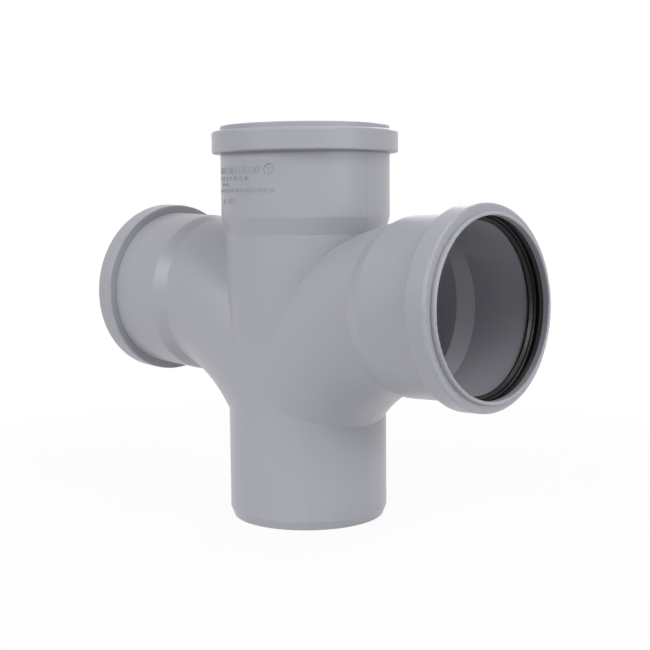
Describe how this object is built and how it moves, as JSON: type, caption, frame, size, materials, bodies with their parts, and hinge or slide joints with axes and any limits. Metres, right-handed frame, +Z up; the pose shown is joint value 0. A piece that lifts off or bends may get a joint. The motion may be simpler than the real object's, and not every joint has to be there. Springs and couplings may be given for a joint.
{
  "type": "drain pipe cross",
  "caption": "Grey moulded drain pipe cross with a plain spigot below, a push-fit socket on top and a swept branch socket on either side, each with a rubber ring.",
  "frame": {"origin": "centre of the spigot's end face, on the axis of the run", "axes": "+Z up the run towards the top socket, +X out of the right branch, +Y to the back"},
  "size_m": [0.3306, 0.128, 0.2695],
  "materials": {
    "body_plastic": "satin moulded grey polypropylene",
    "seal_rubber": "smooth black rubber"
  },
  "bodies": {
    "root": {"fitting_body": "body_plastic", "top_seal_ring": "seal_rubber", "right_seal_ring": "seal_rubber", "left_seal_ring": "seal_rubber"}
  },
  "joints": []
}
